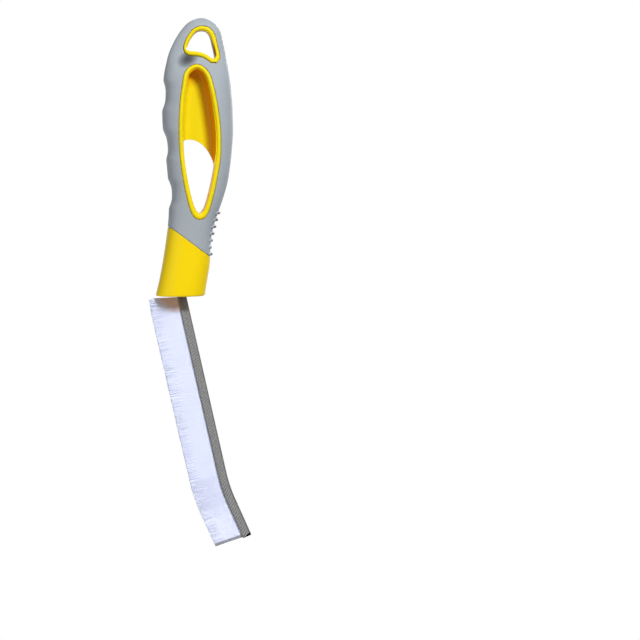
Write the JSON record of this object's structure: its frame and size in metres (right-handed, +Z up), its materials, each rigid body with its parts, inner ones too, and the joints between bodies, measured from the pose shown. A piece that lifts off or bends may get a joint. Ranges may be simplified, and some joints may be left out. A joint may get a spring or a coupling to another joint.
{
  "type": "grout brush",
  "caption": "Hand brush for grout lines: soft grey grip with finger grooves over a yellow core, and a narrow bent metal channel of white bristles.",
  "frame": {"origin": "where a hook touches the top of the hanging hole, at the middle of the handle's thickness", "axes": "+Z up along the handle towards the hanging hole, +X away from the bristles' side, +Y from the broad front face to the back"},
  "size_m": [0.0494, 0.0238, 0.2594],
  "materials": {
    "yellow_core": "smooth moulded polypropylene",
    "grey_skin": "soft-touch overmould, satin",
    "channel_steel": "rolled strip with a fine knurl",
    "wire_steel": "drawn wire",
    "white_filament": "stiff filament"
  },
  "bodies": {
    "root": {"handle_core": "yellow_core", "grip_skin": "grey_skin", "strip_channel": "channel_steel", "channel_wire": "wire_steel", "bristles_upper": "white_filament", "bristles_middle": "white_filament", "bristles_tip": "white_filament"}
  },
  "joints": []
}
